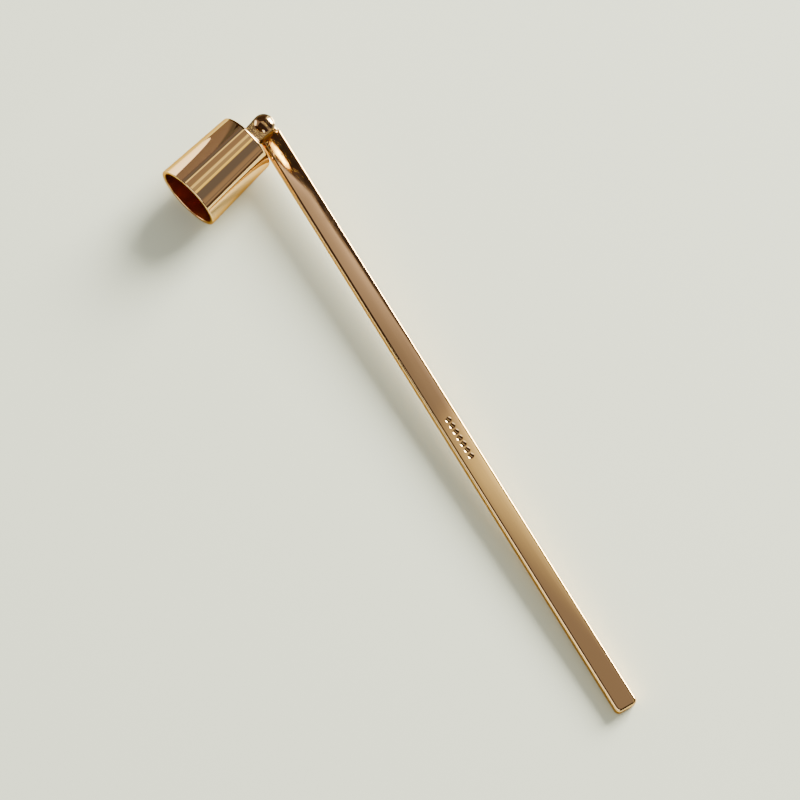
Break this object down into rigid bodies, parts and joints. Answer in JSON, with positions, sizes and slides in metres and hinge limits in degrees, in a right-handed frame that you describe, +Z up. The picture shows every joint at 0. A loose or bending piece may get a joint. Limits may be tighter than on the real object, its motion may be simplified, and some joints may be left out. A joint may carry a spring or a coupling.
{
  "type": "candle snuffer",
  "caption": "Candle snuffer: a conical metal cup, closed on top and open at the mouth, hinged by a round-head rivet to a long flat bar handle; lies folded on a table.",
  "frame": {"origin": "on the table, under the middle of the snuffer as it lies folded", "axes": "+X along the bar from the hinge to its free end, +Z up from the table, the cup folded to the -Y side"},
  "size_m": [0.2532, 0.0444, 0.0253],
  "materials": {
    "bar_plate": "steel bar, polished and plated in pale rose gold",
    "cup_plate": "turned steel, mirror polished and plated in pale rose gold",
    "clevis_plate": "milled steel, polished and plated in pale rose gold",
    "screw_steel": "plain steel, lightly oiled",
    "rivet_plate": "domed steel head, polished and plated in pale rose gold"
  },
  "bodies": {
    "bar": {"handle": "bar_plate"},
    "snuffer": {"snuffer_cup": "cup_plate", "hinge_clevis": "clevis_plate", "clevis_screw": "screw_steel", "hinge_pin": "rivet_plate"}
  },
  "joints": [
    {"name": "cup_hinge", "type": "hinge", "parent": "bar", "child": "snuffer", "pos_m": [-0.11784, 0.01801, 0.01112], "axis": [-0.0348, -0.0522, -0.998], "range_deg": [-2, 195]}
  ]
}
